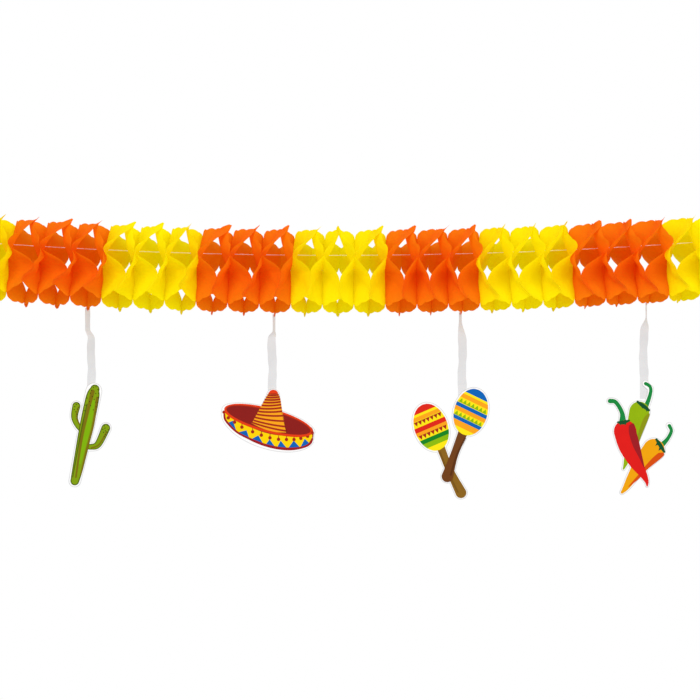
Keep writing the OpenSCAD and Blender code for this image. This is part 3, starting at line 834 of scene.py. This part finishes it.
def print_mesh(name, number, layers):
    """Flat fields of colour in thin layers on the front of a card: a grey band of painted shade along the cut
    edge, white face, then the figure.
    """
    layers = [
        ("cut_edge", card_outlines(number, CARD_MARGIN - EDGE_SHADE_INSET)),
        ("card_face", card_outlines(number, CARD_MARGIN - CARD_FACE_INSET)),
    ] + layers
    cell_x = CELL_MIDDLES[RIBBON_CELLS[number]]
    base = np.array([cell_x, RIBBON_Y - RIBBON_T / 2 - CARD_T, POINT_Z + arc_z(cell_x) - RIBBON_DROP])
    points, faces, inks = [], [], []
    names = sorted({ink for ink, _ in layers})
    for level, (ink, shapes) in enumerate(layers):
        for order, shape in enumerate(shapes if isinstance(shapes, list) else [shapes]):
            x, y = shape[:, 0], shape[:, 1]
            if np.sum(x * np.roll(y, -1) - np.roll(x, -1) * y) < 0:
                x, y = x[::-1], y[::-1]
            depth = np.full_like(x, -LAYER_STEP * (level + 1) - SHAPE_STEP * (order % SHAPE_STEPS))
            faces.append(list(range(len(points), len(points) + len(x))))
            points.extend((np.stack([x, depth, y], axis=1) * MM + base).tolist())
            inks.append(names.index(ink))
    mesh = bpy.data.meshes.new(name)
    mesh.from_pydata(to_frame(np.array(points)).tolist(), [], faces)
    for ink in names:
        mesh.materials.append(ink_materials[ink])
    mesh.polygons.foreach_set("material_index", np.array(inks, dtype=np.int32))
    mesh.update()
    return mesh


PRINTS = (cactus_print, sombrero_print, maracas_print, chillies_print)
for number, figure in enumerate(FIGURES):
    name = f"{figure}_print"
    add_piece(name, print_mesh(name, number, PRINTS[number]()), None)


# Light and camera
world = bpy.data.worlds.new("white_room")
bpy.context.scene.world = world
world.use_nodes = True
tree = world.node_tree
tree.nodes.clear()
world_out = tree.nodes.new("ShaderNodeOutputWorld")
path = tree.nodes.new("ShaderNodeLightPath")
seen = tree.nodes.new("ShaderNodeBackground")
seen.inputs["Color"].default_value = (1, 1, 1, 1)
seen.inputs["Strength"].default_value = 1.0
lit = tree.nodes.new("ShaderNodeBackground")
lit.inputs["Color"].default_value = (1, 1, 1, 1)
lit.inputs["Strength"].default_value = 0.75
choose = tree.nodes.new("ShaderNodeMixShader")
tree.links.new(path.outputs["Is Camera Ray"], choose.inputs["Fac"])
tree.links.new(lit.outputs["Background"], choose.inputs[1])
tree.links.new(seen.outputs["Background"], choose.inputs[2])
tree.links.new(choose.outputs["Shader"], world_out.inputs["Surface"])


def area_light(name, place, target, size, power):
    """A square area light that faces a target."""
    data = bpy.data.lights.new(name, "AREA")
    data.shape = "SQUARE"
    data.size = size
    data.energy = power
    lamp = bpy.data.objects.new(name, data)
    bpy.context.scene.collection.objects.link(lamp)
    lamp.location = place
    way = np.array(target) - np.array(place)
    flat = math.hypot(way[0], way[1])
    lamp.rotation_euler = (math.atan2(flat, -way[2]), 0.0, math.atan2(-way[0], way[1]))
    return lamp


MIDDLE = (LOOP_X, 0.0, THREAD_LOW - 0.06)
area_light("key", (LOOP_X - 0.9, -2.2, 1.3), MIDDLE, 1.2, 40.0)
area_light("fill", (LOOP_X + 1.3, -2.0, 0.3), MIDDLE, 1.4, 20.0)

camera_data = bpy.data.cameras.new("camera")
camera = bpy.data.objects.new("camera", camera_data)
bpy.context.scene.collection.objects.link(camera)
bpy.context.scene.camera = camera
FAR = 3.05
ASIDE = 0.103
VIEW_WIDTH = 0.892
VIEW_RIGHT = 0.0157
VIEW_DOWN = 0.1206
SENSOR = 36.0
camera_data.sensor_width = SENSOR
camera_data.lens = SENSOR * FAR / VIEW_WIDTH
camera.location = (LOOP_X + VIEW_RIGHT - ASIDE, -FAR, THREAD_LOW - VIEW_DOWN)
camera_data.shift_x = ASIDE / VIEW_WIDTH
camera.rotation_euler = (math.pi / 2, 0.0, 0.0)
camera_data.clip_end = 50.0

bpy.context.scene.view_settings.view_transform = "Standard"
